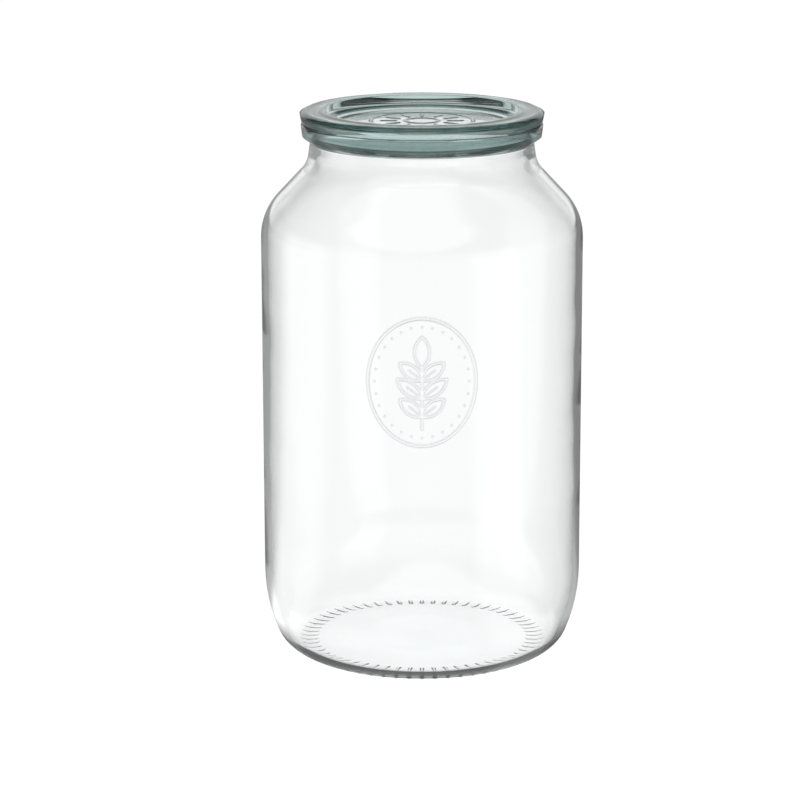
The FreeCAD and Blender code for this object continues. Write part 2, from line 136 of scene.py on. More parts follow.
# %% Give the jar's corners
FOOT = 0.5
BADGE_HEIGHT = 141.8
BADGE_REACH = 31.75
jar_corners = [
    (0.0, 1.5, 0), (24.75, 1.5, 1225), (49.5, FOOT, 0),
    (63.634, FOOT, 15), (BODY, 23.407, 75),
    (BODY, BADGE_HEIGHT - BADGE_REACH, 0), (BODY, BADGE_HEIGHT + BADGE_REACH, 0),
    (BODY, 203.7, 27), (51.9, 226.1, 13), (50.4, 236.4, 1.5), (RIM, 239.4, 1.3), (RIM, JAR_TOP, 0.8),
    (MOUTH, JAR_TOP, 0.8), (MOUTH, 226.5, 16), (BODY - WALL, 202.5, 24),
    (BODY - WALL, 24.0, 72), (61.54, 3.29, 12), (0.0, 4.9, 0),
]
jar_path = rounded(jar_corners)
print("jar outline: %d points, %.0f mm long" % (len(jar_path), travelled(jar_path)[-1]))

# %% [markdown]
# ## A skin made of rings
# A turned form is a stack of rings of vertices. A fine detail such as the knurl
# needs rings with many vertices, and a plain wall doesn't. So the skin is made in
# zones, each a regular grid, and neighbouring zones are stitched together: every
# short edge of the finer ring is joined to the nearest vertex of the coarser one.


# %% Collect a skin's vertices and faces
class Skin:
    """Vertices in millimetres and faces of one closed surface."""

    def __init__(self):
        self.points = []
        self.slopes = []
        self.faces = []
        self.count = 0

    def add(self, points, slopes=0.0):
        """Keep an array of points and return the number of each, in the same layout.

        slopes says, from 0 to 1, how steep the relief is at each point.
        """
        numbers = self.count + np.arange(points[..., 0].size).reshape(points.shape[:-1])
        self.points.append(points.reshape(-1, 3))
        self.slopes.append(np.broadcast_to(slopes, numbers.shape).ravel())
        self.count += numbers.size
        return numbers

    def quads(self, numbers, closed=True, keep=None):
        """Four-sided faces between neighbouring rows and columns of a grid of numbers."""
        beside = np.roll(numbers, -1, axis=1) if closed else numbers[:, 1:]
        here = numbers if closed else numbers[:, :-1]
        faces = np.stack([here[:-1], beside[:-1], beside[1:], here[1:]], axis=-1)
        self.faces += (faces.reshape(-1, 4) if keep is None else faces[keep]).tolist()

    def stitch(self, lower, lower_turn, upper, upper_turn):
        """Triangles between two closed loops whose turns, in radians, run the same way."""
        swap = len(lower) < len(upper)
        fine, fine_turn, coarse, coarse_turn = (upper, upper_turn, lower, lower_turn) if swap else (
            lower, lower_turn, upper, upper_turn)
        gap = np.roll(fine_turn, -1) - fine_turn
        middle = fine_turn + (gap + math.pi) % math.tau / 2 - math.pi / 2
        away = np.abs((middle[:, None] - coarse_turn + math.pi) % math.tau - math.pi)
        owner = away.argmin(axis=1)
        following = np.roll(owner, -1)
        change = np.flatnonzero(owner != following)
        ends = np.roll(fine, -1)
        fans = np.stack([fine, ends, coarse[owner]], axis=1)
        gores = np.stack([coarse[following[change]], coarse[owner[change]], ends[change]], axis=1)
        triangles = np.concatenate([fans, gores])
        self.faces += (triangles[:, ::-1] if swap else triangles).tolist()

    def cap(self, ring, point, last):
        """A fan of triangles from one end ring to a point on the axis."""
        pole = self.add(np.array([[point]], float))[0, 0]
        beside = np.roll(ring, -1)
        rim = (ring, beside) if last else (beside, ring)
        self.faces += np.stack([*rim, np.full(len(ring), pole)], axis=1).tolist()

    def build(self, name):
        """Make the mesh object, smooth shaded and in metres."""
        mesh = bpy.data.meshes.new(name)
        mesh.from_pydata(np.concatenate(self.points) * MM, [], self.faces)
        mesh.shade_smooth()
        relief = mesh.attributes.new("relief_slope", "FLOAT", "POINT")
        relief.data.foreach_set("value", np.concatenate(self.slopes).astype(np.float32))
        mesh.validate()
        piece = bpy.data.objects.new(name, mesh)
        bpy.context.scene.collection.objects.link(piece)
        print("%s: %d vertices, %d faces" % (name, len(mesh.vertices), len(mesh.polygons)))
        return piece


def revolve(path, turns, lift=0):
    """Grid of points: each point of the path carried round the axis by each turn.

    x is the radius times the cosine of the turn, y the radius times its sine, and
    lift, one value or an array of the grid's size, moves a point up by millimetres.
    """
    radius = path[:, :1] + 0 * turns
    height = path[:, 1:] + 0 * turns
    return np.stack([radius * np.cos(turns), radius * np.sin(turns), height + lift], axis=-1)


# %% [markdown]
# ## The knurl under the foot
# Hot jars ride on a ring of short radial bars, so that the smooth glass never
# touches the belt. Each bar is a rounded ridge. It could be a bump in the material,
# but it stands half a millimetre high and shows at the edge of the foot, so it is
# real shape: under a bar the glass comes down to the height 0.

# %% Work out the knurl's relief
BARS = 60
BAR_HALF = 0.72
BAR_INSIDE = 49.0
BAR_OUTSIDE = 57.5
BAR_END = 1.0
BEARING = 53.5
BAR_RISE = 8.0
COARSE = 180


def knurl_drop(radius, turns, height):
    """How far the bars reach below the plain foot, in millimetres.

    Across a bar and round its two ends the relief is a quarter turn of an ellipse:
    the square root of 1 - w^2 - e^2, where w is the share of the half width and e
    the share of the end's length. Outside the bearing circle the soles rise at 8
    degrees, so that the ends don't stand out under the heel.
    """
    pitch = math.tau / BARS
    off = (turns + pitch / 2) % pitch - pitch / 2
    across = radius * off / BAR_HALF
    middle = (BAR_INSIDE + BAR_OUTSIDE) / 2
    past = np.abs(radius - middle) - (BAR_OUTSIDE - BAR_INSIDE) / 2 + BAR_END
    along = np.maximum(0, past / BAR_END)
    sole = np.maximum(0, radius - BEARING) * math.tan(math.radians(BAR_RISE))
    return np.maximum(0, height - sole) * np.sqrt(np.maximum(0, 1 - across ** 2 - along ** 2))


coarse_turns = np.radians(np.arange(COARSE) * 2.0 + 1)
knurl_steps = np.concatenate([np.linspace(-1, 1, 9)[:-1], [1, 2, 3, 4]])
knurl_turns = np.radians((np.arange(BARS)[:, None] * 6.0 + knurl_steps).ravel())
print("knurl: %d bars on rings of %d vertices" % (BARS, len(knurl_turns)))

# %% [markdown]
# ## The badge
# Preserving jars carry a raised badge on the front wall. This one is a plain
# garden motif: an upright oval ring round a sprig of leaves. It is worked out as
# distances in millimetres, because a line's relief is then one smooth step: full
# height within the line's half width, and nothing past its soft edge. The lid is
# seen at a low angle, where a sprig would close up to a blot, so it has a rosette.

# %% Measure distances to the badge's lines
LINE_HALF = 0.6
LINE_SOFT = 0.3
SPRIG_SIZE = 28
SPOKE_MIDDLE = 15.0
SPOKE_HALF = 3.2
ROSETTE_RING = 23.0
ROSETTE_HUB = 7.5


def ridge(distance, half=LINE_HALF):
    """Relief of a raised line, 0 to 1, from the distance to its middle."""
    share = np.clip((half + LINE_SOFT - np.abs(distance)) / (2 * LINE_SOFT), 0, 1)
    return share * share * (3 - 2 * share)


def oval(x, y, half_width, half_height):
    """Distance to an oval: (q - 1) divided by the slope of q, the scaled radius."""
    scaled = np.hypot(x / half_width, y / half_height) + 1e-9
    slope = np.hypot(x / half_width ** 2, y / half_height ** 2) / scaled + 1e-9
    return (scaled - 1) / slope


def run(x, y, start, end):
    """Distance to a straight run between two points."""
    way = np.subtract(end, start)
    share = np.clip(((x - start[0]) * way[0] + (y - start[1]) * way[1]) / (way @ way), 0, 1)
    return np.hypot(x - start[0] - share * way[0], y - start[1] - share * way[1])


def leaf(x, y, base, lean, length, width):
    """Distance to a leaf: the common part of two equal discs whose rims cross at its tips."""
    radius = (length ** 2 + width ** 2) / (4 * width)
    axis = np.array([math.sin(lean), math.cos(lean)])
    u = (x - base[0]) * axis[0] + (y - base[1]) * axis[1] - length / 2
    v = (x - base[0]) * axis[1] - (y - base[1]) * axis[0]
    return np.hypot(u, np.abs(v) + radius - width / 2) - radius


def sprig(x, y, size):
    """Relief of the sprig, 0 to 1, in an oval of this half height."""
    x = x * SPRIG_SIZE / size
    y = y * SPRIG_SIZE / size
    relief = ridge(run(x, y, (0, -20.5), (0, 7)), 0.5)
    for level, length in ((-15, 12), (-7, 13.5), (1, 12)):
        for side in (-1, 1):
            lean = side * math.radians(52)
            relief = np.maximum(relief, ridge(leaf(x, y, (0, level), lean, length, 5.6), 0.5))
            vein = (0.6 * length * math.sin(lean), level + 0.6 * length * math.cos(lean))
            relief = np.maximum(relief, ridge(run(x, y, (0, level), vein), 0.25))
    relief = np.maximum(relief, ridge(leaf(x, y, (0, 6.5), 0, 13.5, 6.4), 0.5))
    return relief


def badge(x, y, half_width, half_height):
    """Relief of the whole badge, 0 to 1."""
    ring = ridge(oval(x, y, half_width, half_height))
    beads = 28
    turn = np.arctan2(y / half_height, x / half_width)
    off = (turn + math.pi / beads) % (math.tau / beads) - math.pi / beads
    inset = 0.87
    along = off * (half_width + half_height) / 2 * inset
    bead = ridge(np.hypot(along, oval(x, y, half_width * inset, half_height * inset)), 0.4)
    return np.maximum(np.maximum(ring, bead), sprig(x, y, half_height))


def rosette(x, y):
    """Relief of twelve short spokes between two rings, 0 to 1."""
    spokes = 12
    reach = np.hypot(x, y)
    off = (np.arctan2(y, x) + math.pi / spokes) % (math.tau / spokes) - math.pi / spokes
    beyond = np.clip(np.abs(reach - SPOKE_MIDDLE) - SPOKE_HALF, 0, None)
    spoke = ridge(np.hypot(off * reach, beyond))
    rings = np.maximum(ridge(reach - ROSETTE_RING), ridge(reach - ROSETTE_HUB))
    return np.maximum(spoke, rings)


# %% [markdown]
# ## Uneven glass
# The outside of a blown jar takes the mould's true round. The inside is blown
# free, so the wall is a little thicker here and thinner there, and that is what
# makes the dark edge of the glass waver. A few slow waves of different lengths,
# added up, give such a wall without a pattern that repeats.


# %% Work out the inside's waves
def waver(turns, heights):
    """Uneven thickness, in millimetres: a sum of sines of the turn and the height."""
    waves = (
        (2, 0.055, 0.3, 0.10), (3, -0.105, 1.1, 0.04), (5, 0.17, 4.0, 0.02),
        (1, 0.27, 2.2, 0.025), (2, -0.25, 5.1, 0.018), (1, 0.46, 0.9, 0.006),
    )
    return sum(size * np.sin(around * turns + up * heights + shift) for around, up, shift, size in waves)


# %% [markdown]
# ## The jar as one skin
# The outline is cut at two places on the foot. The hub inside them and the shell
# outside them are coarse, and the ring of the knurl between them is fine. The
# inside of the shell is then moved by the waves, fading out at the neck and the
# floor, where the glass is pressed true.

# %% Lay out the jar's zones
KNURL_FROM = 47.5
KNURL_TO = 60.0
KNURL_STEP = 0.4
RUN = 4.0
POLE = 1.5

jar_along = travelled(jar_path)
rising = np.argmax(jar_path[:, 0] >= BODY - 0.001)
cut_in, cut_out = np.interp((KNURL_FROM, KNURL_TO), jar_path[:rising, 0], jar_along[:rising])


def stretch(path, start, end):
    """The part of a path between two lengths along it."""
    lengths = travelled(path)
    kept = lengths[(lengths > start + 0.1) & (lengths < end - 0.1)]
    wanted = np.concatenate([[start], kept, [end]])
    return np.stack([np.interp(wanted, lengths, path[:, axis]) for axis in (0, 1)], axis=1)


hub_path = divided(stretch(jar_path, POLE, cut_in), RUN)[:-1]
knurl_path = divided(stretch(jar_path, cut_in, cut_out), KNURL_STEP)
shell_path = divided(stretch(jar_path, cut_out, jar_along[-1] - POLE), RUN)[1:]
print("jar rows: hub %d, knurl %d, shell %d" % (len(hub_path), len(knurl_path), len(shell_path)))

# %% Move the inside by its waves
WAVES_FROM = 20
WAVES_TO = 222
WAVES_FADE = 25
shell_grid = revolve(shell_path, coarse_turns)
heights = shell_path[:, 1:]
inner = np.arange(len(shell_path))[:, None] > shell_path[:, 1].argmax()
fade_in = np.clip((heights - WAVES_FROM) / WAVES_FADE, 0, 1)
fade_out = np.clip((WAVES_TO - heights) / WAVES_FADE, 0, 1)
fade = fade_in * fade_out
shift = inner * fade * waver(coarse_turns, heights)
shell_grid[..., 0] -= shift * np.cos(coarse_turns)
shell_grid[..., 1] -= shift * np.sin(coarse_turns)
print("wall from %.2f to %.2f mm" % (WALL + shift.min(), WALL + shift.max()))

# %% [markdown]
# ## Set the badge into the wall
# The badge is a patch of fine grid in the coarse wall. A window is left open in
# the wall, the patch fills it all but a narrow margin, and the two borders are
# stitched, each vertex placed by its direction from the badge's middle.

# %% Make the badge's patch
FRONT = math.radians(270)
SECTOR = 21
MARGIN = 1.2
FINE = 0.36
BADGE_DEPTH = 0.4
BADGE_HALF_WIDTH = 24.0
BADGE_HALF_HEIGHT = 28.5
STEEP = 0.9

first_column = int(np.argmin(np.abs(coarse_turns - FRONT + math.radians(SECTOR))))
window_columns = slice(first_column, first_column + SECTOR + 1)
low_row, high_row = (int(np.argmin(np.abs(heights[:, 0] - BADGE_HEIGHT - reach) + 999 * inner[:, 0]))
                     for reach in (-BADGE_REACH, BADGE_REACH))
half_arc = BODY * math.radians(SECTOR) - MARGIN
half_high = BADGE_REACH - MARGIN
across = np.linspace(-half_arc, half_arc, round(2 * half_arc / FINE) + 1)
upward = np.linspace(-half_high, half_high, round(2 * half_high / FINE) + 1)[:, None]
lift = BADGE_DEPTH * badge(across, upward, BADGE_HALF_WIDTH, BADGE_HALF_HEIGHT)
slope_up, slope_across = np.gradient(lift, FINE)
patch_slope = np.clip(np.hypot(slope_up, slope_across) / STEEP, 0, 1)
turns = FRONT + across / BODY
patch_grid = np.stack([(BODY + lift) * np.cos(turns), (BODY + lift) * np.sin(turns),
                       BADGE_HEIGHT + upward + 0 * lift], axis=-1)
print("badge patch: %d by %d points, rows %d to %d" % (*lift.shape, low_row, high_row))


def border(grid):
    """The outer vertices of a grid as a loop: along the bottom, up, back and down."""
    return np.concatenate([grid[0, :-1], grid[:-1, -1], grid[-1, :0:-1], grid[:0:-1, 0]])


# %% Join the zones into the jar
jar_skin = Skin()
hub = jar_skin.add(revolve(hub_path, coarse_turns))
knurl = jar_skin.add(revolve(knurl_path, knurl_turns,
                             -knurl_drop(knurl_path[:, :1], knurl_turns, knurl_path[:, 1:])))
shell = jar_skin.add(shell_grid)
patch = jar_skin.add(patch_grid, patch_slope)
solid_wall = np.ones((len(shell) - 1, COARSE), bool)
solid_wall[low_row:high_row, first_column:first_column + SECTOR] = False
window = shell[low_row:high_row + 1, window_columns]
window_turns = np.broadcast_to(coarse_turns[window_columns] - FRONT, window.shape) * BODY
window_heights = np.broadcast_to(heights[low_row:high_row + 1] - BADGE_HEIGHT, window.shape)

jar_skin.cap(hub[0], (0, 0, hub_path[0, 1]), False)
jar_skin.quads(hub)
jar_skin.stitch(hub[-1], coarse_turns, knurl[0], knurl_turns)
jar_skin.quads(knurl)
jar_skin.stitch(knurl[-1], knurl_turns, shell[0], coarse_turns)
jar_skin.quads(shell, keep=solid_wall)
jar_skin.stitch(border(window), border(np.arctan2(window_heights, window_turns)),
                border(patch), border(np.arctan2(upward + 0 * across, across + 0 * upward)))
jar_skin.quads(patch, closed=False)
jar_skin.cap(shell[-1], (0, 0, shell_path[-1, 1]), True)
jar = jar_skin.build("glass_jar")
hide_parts("jar")
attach(jar, "root")

# %% [markdown]
# ## The lid
# The lid is a pressed disc: a ring stands round a sunk middle, and a shallow plug
# below keeps it from sliding off. It lies on the rim with a film of air between,
# because two glass faces in the very same place would shimmer. The top of the ring
# has a shallow sunk band, whose edges catch the light as fine lines. A rosette of
# short spokes stands on the floor of the recess.

# %% Build the lid's skin
SEAT = JAR_TOP + 0.05
RECESS = LID_TOP - 5.1
BAND_DEPTH = 0.4
LID_BADGE = 26.0
DISC_STEP = 0.36
DISC_TURN = 0.75
lid_corners = [
    (0.0, LID_FOOT, 0), (43.6, LID_FOOT, 1.2), (46.5, SEAT, 0), (LID_EDGE, SEAT, 0.8),
    (LID_EDGE, LID_TOP, 1.2), (LID_EDGE - 2.6, LID_TOP, 0.8),
    (LID_EDGE - 3.6, LID_TOP - BAND_DEPTH, 0.8), (LID_EDGE - 8.4, LID_TOP - BAND_DEPTH, 0.8),
    (LID_EDGE - 9.4, LID_TOP, 0.8), (LID_EDGE - 11.8, LID_TOP, 1.1),
    (40.3, RECESS, 1.8), (0.0, RECESS, 0),
]
lid_path = rounded(lid_corners)
lid_length = travelled(lid_path)[-1]
lid_shell_path = divided(stretch(lid_path, POLE, lid_length - LID_BADGE - MARGIN), RUN)
lid_disc_path = divided(stretch(lid_path, lid_length - LID_BADGE, lid_length - POLE), DISC_STEP)
disc_turns = np.radians(np.arange(round(360 / DISC_TURN)) * DISC_TURN)
disc_x = lid_disc_path[:, :1] * np.cos(disc_turns)
disc_y = lid_disc_path[:, :1] * np.sin(disc_turns)
raised = BADGE_DEPTH * rosette(disc_x, disc_y)

along_spoke, round_ring = np.gradient(raised)
disc_pitch = lid_disc_path[:, :1] * math.radians(DISC_TURN)
disc_slope = np.hypot(along_spoke / DISC_STEP, round_ring / disc_pitch)

lid_skin = Skin()
lid_shell = lid_skin.add(revolve(lid_shell_path, coarse_turns))
lid_disc = lid_skin.add(revolve(lid_disc_path, disc_turns, raised), np.clip(disc_slope / STEEP, 0, 1))
lid_skin.cap(lid_shell[0], (0, 0, LID_FOOT), False)
lid_skin.quads(lid_shell)
lid_skin.stitch(lid_shell[-1], coarse_turns, lid_disc[0], disc_turns)
lid_skin.quads(lid_disc)
lid_skin.cap(lid_disc[-1], (0, 0, RECESS + raised[-1].mean()), True)
lid = lid_skin.build("glass_lid")
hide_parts("lid")
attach(lid, "root")

# %% [markdown]
# ## Mould ripple
# Pressed glass keeps faint hollows from the mould and from uneven cooling. They
# could be shaped in the mesh, but they are thousandths of a millimetre deep, so a
# noise that tilts the skin's normal serves. Both glasses share the group, and each
# gives its own scale and depth.

# %% Group the ripple's nodes


def socket(group, name, kind, direction, value=None):
    """Add a named input or output to a node group."""
    made = group.interface.new_socket(name, in_out=direction, socket_type="NodeSocket" + kind)
    if value is not None:
        made.default_value = value
    return made


def open_group(name, *sockets):
    """A new node group with its sockets; returns it, its nodes, its links and its two ends."""
    group = bpy.data.node_groups.new(name, "ShaderNodeTree")
    for details in sockets:
        socket(group, *details)
    nodes = group.nodes
    return group, nodes, group.links, nodes.new("NodeGroupInput"), nodes.new("NodeGroupOutput")


ripple, nodes, links, enter, leave = open_group(
    "mould_ripple", ("Scale", "Float", "INPUT", 70.0), ("Depth", "Float", "INPUT", 0.00002),
    ("Normal", "Vector", "OUTPUT"))
place = nodes.new("ShaderNodeTexCoord")
noise = nodes.new("ShaderNodeTexNoise")
noise.inputs["Detail"].default_value = 3.0
noise.inputs["Roughness"].default_value = 0.35
links.new(place.outputs["Object"], noise.inputs["Vector"])
links.new(enter.outputs["Scale"], noise.inputs["Scale"])
bump = nodes.new("ShaderNodeBump")
links.new(noise.outputs["Fac"], bump.inputs["Height"])
links.new(enter.outputs["Depth"], bump.inputs["Distance"])
links.new(bump.outputs["Normal"], leave.inputs["Normal"])
print("ripple group: %d nodes" % len(nodes))

# %% [markdown]
# ## The colour of the skin
# Thick glass looks darker and greener, because light goes a longer way through it.
# The body's absorption gives part of that. The rest could come from a denser body,
# but that would grey the thin parts too, so the skin takes a deeper colour where
# the glass is thick: on the jar above a height, and on the lid past a radius.
# That deeper colour is partly the tint of thick glass and partly painted shade,
# which stands in for light mirrored inside the thick rim and ring out to the dark
# surroundings.
# Raised lines get a painted shade on their slopes, where real ones bend light away.

# %% Group the colour's nodes
# Painted shade laid on the slopes of raised lines.
LINE_SHADE = (0.42, 0.45, 0.45)
CHANGE_OVER = 0.002

tone, nodes, links, enter, leave = open_group(
    "glass_tone", ("Shade", "Color", "INPUT"), ("DeepShaded", "Color", "INPUT"),
    ("By Radius", "Float", "INPUT", 0.0), ("Start", "Float", "INPUT", 0.0), ("Color", "Color", "OUTPUT"))
place = nodes.new("ShaderNodeTexCoord")
axes = nodes.new("ShaderNodeSeparateXYZ")
links.new(place.outputs["Object"], axes.inputs[0])
level = nodes.new("ShaderNodeCombineXYZ")
links.new(axes.outputs["X"], level.inputs["X"])
links.new(axes.outputs["Y"], level.inputs["Y"])
radius = nodes.new("ShaderNodeVectorMath")
radius.operation = "LENGTH"
links.new(level.outputs["Vector"], radius.inputs[0])
measure = nodes.new("ShaderNodeMix")
links.new(enter.outputs["By Radius"], measure.inputs["Factor"])
links.new(axes.outputs["Z"], measure.inputs["A"])
links.new(radius.outputs["Value"], measure.inputs["B"])
finish = nodes.new("ShaderNodeMath")
links.new(enter.outputs["Start"], finish.inputs[0])
finish.inputs[1].default_value = CHANGE_OVER
rise = nodes.new("ShaderNodeMapRange")
links.new(measure.outputs["Result"], rise.inputs["Value"])
links.new(enter.outputs["Start"], rise.inputs["From Min"])
links.new(finish.outputs[0], rise.inputs["From Max"])
# Where the glass is thick the colour turns deep: partly its tint, partly painted shade.
hue = nodes.new("ShaderNodeMix")
hue.data_type = "RGBA"
links.new(rise.outputs["Result"], hue.inputs["Factor"])
links.new(enter.outputs["Shade"], hue.inputs["A"])
links.new(enter.outputs["DeepShaded"], hue.inputs["B"])
slope = nodes.new("ShaderNodeAttribute")
slope.attribute_name = "relief_slope"
lined = nodes.new("ShaderNodeMix")
lined.data_type = "RGBA"
lined.inputs["B"].default_value = (*LINE_SHADE, 1)
links.new(hue.outputs["Result"], lined.inputs["A"])
links.new(slope.outputs["Fac"], lined.inputs["Factor"])
links.new(lined.outputs["Result"], leave.inputs["Color"])
print("tone group: %d nodes" % len(nodes))

# %% [markdown]
# ## Glass
# Clear glass is a smooth skin that bends light, and a body that takes a little
# of it away: the longer the way through the glass, the deeper the colour. So the
# skin is a Principled BSDF with full transmission, and the body is a Volume
# Absorption. Lamps see the glass as nearly clear, because a real jar throws only
# a faint shadow.

# %% Make the glass materials
SHADOW_TINT = (0.96, 0.975, 0.97)


def add_group(nodes, group, **values):
    """A group node with values on its inputs; an underscore stands for a space."""
    node = nodes.new("ShaderNodeGroup")
    node.node_tree = group
    for name, value in values.items():
        node.inputs[name.replace("_", " ")].default_value = value
    return node


def glass(name, tint, density, colours, bumps):
    """A clear glass whose tint grows with thickness; where it is thick, part of the deeper colour is painted
    shade.

    colours and bumps are the group nodes' inputs by name.
    """
    material = bpy.data.materials.new(name)
    material.use_nodes = True
    nodes, links = material.node_tree.nodes, material.node_tree.links
    nodes.clear()
    output = nodes.new("ShaderNodeOutputMaterial")
    skin = nodes.new("ShaderNodeBsdfPrincipled")
    links.new(add_group(nodes, tone, **colours).outputs["Color"], skin.inputs["Base Color"])
    links.new(add_group(nodes, ripple, **bumps).outputs["Normal"], skin.inputs["Normal"])
    skin.inputs["Roughness"].default_value = 0.0
    skin.inputs["IOR"].default_value = 1.5
    skin.inputs["Transmission Weight"].default_value = 1.0
    body = nodes.new("ShaderNodeVolumeAbsorption")
    body.inputs["Color"].default_value = (*tint, 1)
    body.inputs["Density"].default_value = density
    clear = nodes.new("ShaderNodeBsdfTransparent")
    clear.inputs["Color"].default_value = (*SHADOW_TINT, 1)
    path = nodes.new("ShaderNodeLightPath")
    mix = nodes.new("ShaderNodeMixShader")
    links.new(path.outputs["Is Shadow Ray"], mix.inputs["Fac"])
    links.new(skin.outputs["BSDF"], mix.inputs[1])
    links.new(clear.outputs["BSDF"], mix.inputs[2])
    links.new(mix.outputs["Shader"], output.inputs["Surface"])
    links.new(body.outputs["Volume"], output.inputs["Volume"])
    print("%s: absorbs %.0f per metre" % (name, density))
    return material


# Each glass's deep colour is partly the tint of thick glass and partly painted shade for light mirrored away
# inside the rim or the ring.
jar_glass = glass(
    "jar_glass", tint=(0.55, 0.82, 0.78), density=4.0,
    colours={"Shade": (0.99, 0.996, 0.996, 1), "DeepShaded": (0.22, 0.32, 0.31, 1), "By_Radius": 0.0,
             "Start": 0.2375},
    bumps={"Scale": 70.0, "Depth": 0.000008})
lid_glass = glass(
    "lid_glass", tint=(0.30, 0.50, 0.46), density=14.0,
    colours={"Shade": (0.99, 0.995, 0.993, 1), "DeepShaded": (0.42, 0.58, 0.56, 1), "By_Radius": 1.0,
             "Start": 0.0425},
    bumps={"Scale": 110.0, "Depth": 0.000006})
jar.data.materials.append(jar_glass)
lid.data.materials.append(lid_glass)

# %% [markdown]
# ## The studio
# Glass shows what is round it. A white ground behind it makes the middle of the
# jar clear, and darker surroundings, seen only by light that has been mirrored
# inside the wall or off it, draw its edges. They could be real cards on stands,
# but each would need its own place. Instead one group of nodes says how bright
# the studio is in each direction round the jar: a dim back, a lighter front, two
# tall soft boxes and two darker patches. The floor and the world both use it.

# %% Describe the studio's brightness by direction
BACK_LEVEL = 0.39
FRONT_LEVEL = 0.72
SIDE_TILT = 0.03
# turn from the front, half width, soft edge, all in degrees, and strength
SCREENS = ((-92, 10, 20, 0.70), (52, 8, 14, 0.60), (-151, 6, 17, -0.11), (151, 6, 17, -0.19))


def maths(nodes, links, operation, *values):
    """A Math node fed by numbers or by other nodes' outputs; returns its output."""
    node = nodes.new("ShaderNodeMath")
    node.operation = operation
    for place, value in zip(node.inputs, values):
        if isinstance(value, (int, float)):
            place.default_value = value
        else:
            links.new(value, place)
    return node.outputs[0]


def facing(nodes, links, direction, towards):
    """The cosine of the angle between a direction and a fixed one."""
    node = nodes.new("ShaderNodeVectorMath")
    node.operation = "DOT_PRODUCT"
    links.new(direction, node.inputs[0])
    node.inputs[1].default_value = towards
    return node.outputs["Value"]


def fade_between(nodes, links, value, low, high):
    """0 below low, 1 above high and a smooth rise between."""
    fade = nodes.new("ShaderNodeMapRange")
    fade.interpolation_type = "SMOOTHSTEP"
    links.new(value, fade.inputs["Value"])
    fade.inputs["From Min"].default_value = low
    fade.inputs["From Max"].default_value = high
    return fade.outputs["Result"]


def soft_box(nodes, links, direction, turn, half, edge):
    """1 where a flat direction lies within half degrees of a turn, fading over edge degrees."""
    towards = (math.sin(math.radians(turn)), -math.cos(math.radians(turn)), 0)
    return fade_between(nodes, links, facing(nodes, links, direction, towards),
                        math.cos(math.radians(half + edge)), math.cos(math.radians(half)))


studio, nodes, links, enter, leave = open_group(
    "studio_surroundings", ("Direction", "Vector", "INPUT"), ("Brightness", "Float", "OUTPUT"))
flat = nodes.new("ShaderNodeVectorMath")
flat.operation = "MULTIPLY"
flat.inputs[1].default_value = (1, 1, 0)
links.new(enter.outputs["Direction"], flat.inputs[0])
unit = nodes.new("ShaderNodeVectorMath")
unit.operation = "NORMALIZE"
links.new(flat.outputs["Vector"], unit.inputs[0])
way = unit.outputs["Vector"]
split = nodes.new("ShaderNodeSeparateXYZ")
links.new(way, split.inputs[0])
level = maths(nodes, links, "MULTIPLY_ADD", split.outputs["Y"], (BACK_LEVEL - FRONT_LEVEL) / 2,
              (BACK_LEVEL + FRONT_LEVEL) / 2)
level = maths(nodes, links, "MULTIPLY_ADD", split.outputs["X"], -SIDE_TILT, level)
for turn, half, edge, strength in SCREENS:
    glow = soft_box(nodes, links, way, turn, half, edge)
    level = maths(nodes, links, "MULTIPLY_ADD", glow, strength, level)
links.new(level, leave.inputs["Brightness"])
print("studio group: %d screens, %d nodes" % (len(SCREENS), len(nodes)))

# %% [markdown]
# ## The world
# Above the table stand a dark room, a white screen behind the jar, and a large
# soft box above and in front. The lid mirrors them: the screen lies on its flat
# top as a sheen, and the soft box draws lines on its rounded edges. Light that
# was never mirrored sees an even backdrop instead. It is a pale grey, darker than
# the table, and shows above the horizon when the jar is seen from low down.

# %% Light the world
ROOM_LEVEL = 0.10
SCREEN_LEVEL = 1.1
CEILING_LEVEL = 1.1
CEILING_BOX = (-0.10, -0.62, 0.78)
BACKDROP_LEVEL = 1.02
BACKDROP_GREY = (0.8, 0.8, 0.8, 1)


def seen_straight(nodes, links):
    """1 for light that reaches the eye without being mirrored by any surface."""
    path = nodes.new("ShaderNodeLightPath")
    return maths(nodes, links, "LESS_THAN", path.outputs["Glossy Depth"], 0.5)


def blend_value(nodes, links, share, low, high):
    """low where share is 0 and high where it is 1."""
    node = nodes.new("ShaderNodeMix")
    for place, value in zip((node.inputs["Factor"], node.inputs["A"], node.inputs["B"]), (share, low, high)):
        if isinstance(value, (int, float)):
            place.default_value = value
        else:
            links.new(value, place)
    return node.outputs["Result"]


def surroundings(nodes, links, direction):
    """The studio's brightness in a direction."""
    group = add_group(nodes, studio)
    links.new(direction, group.inputs["Direction"])
    return group.outputs["Brightness"]


world = bpy.data.worlds.new("studio")
bpy.context.scene.world = world
world.use_nodes = True
nodes, links = world.node_tree.nodes, world.node_tree.links
nodes.clear()
output = nodes.new("ShaderNodeOutputWorld")
background = nodes.new("ShaderNodeBackground")
background.inputs["Color"].default_value = BACKDROP_GREY
around = nodes.new("ShaderNodeTexCoord").outputs["Generated"]
height = nodes.new("ShaderNodeSeparateXYZ")
links.new(around, height.inputs[0])
above = fade_between(nodes, links, height.outputs["Z"], 0.05, 0.30)
upper = blend_value(nodes, links, above, surroundings(nodes, links, around), ROOM_LEVEL)
behind = fade_between(nodes, links, height.outputs["Y"], 0.72, 0.86)
raised_up = fade_between(nodes, links, height.outputs["Z"], -0.02, 0.06)
upper = blend_value(nodes, links, maths(nodes, links, "MULTIPLY", behind, raised_up), upper, SCREEN_LEVEL)
ceiling = fade_between(nodes, links, facing(nodes, links, around, CEILING_BOX), 0.72, 0.86)
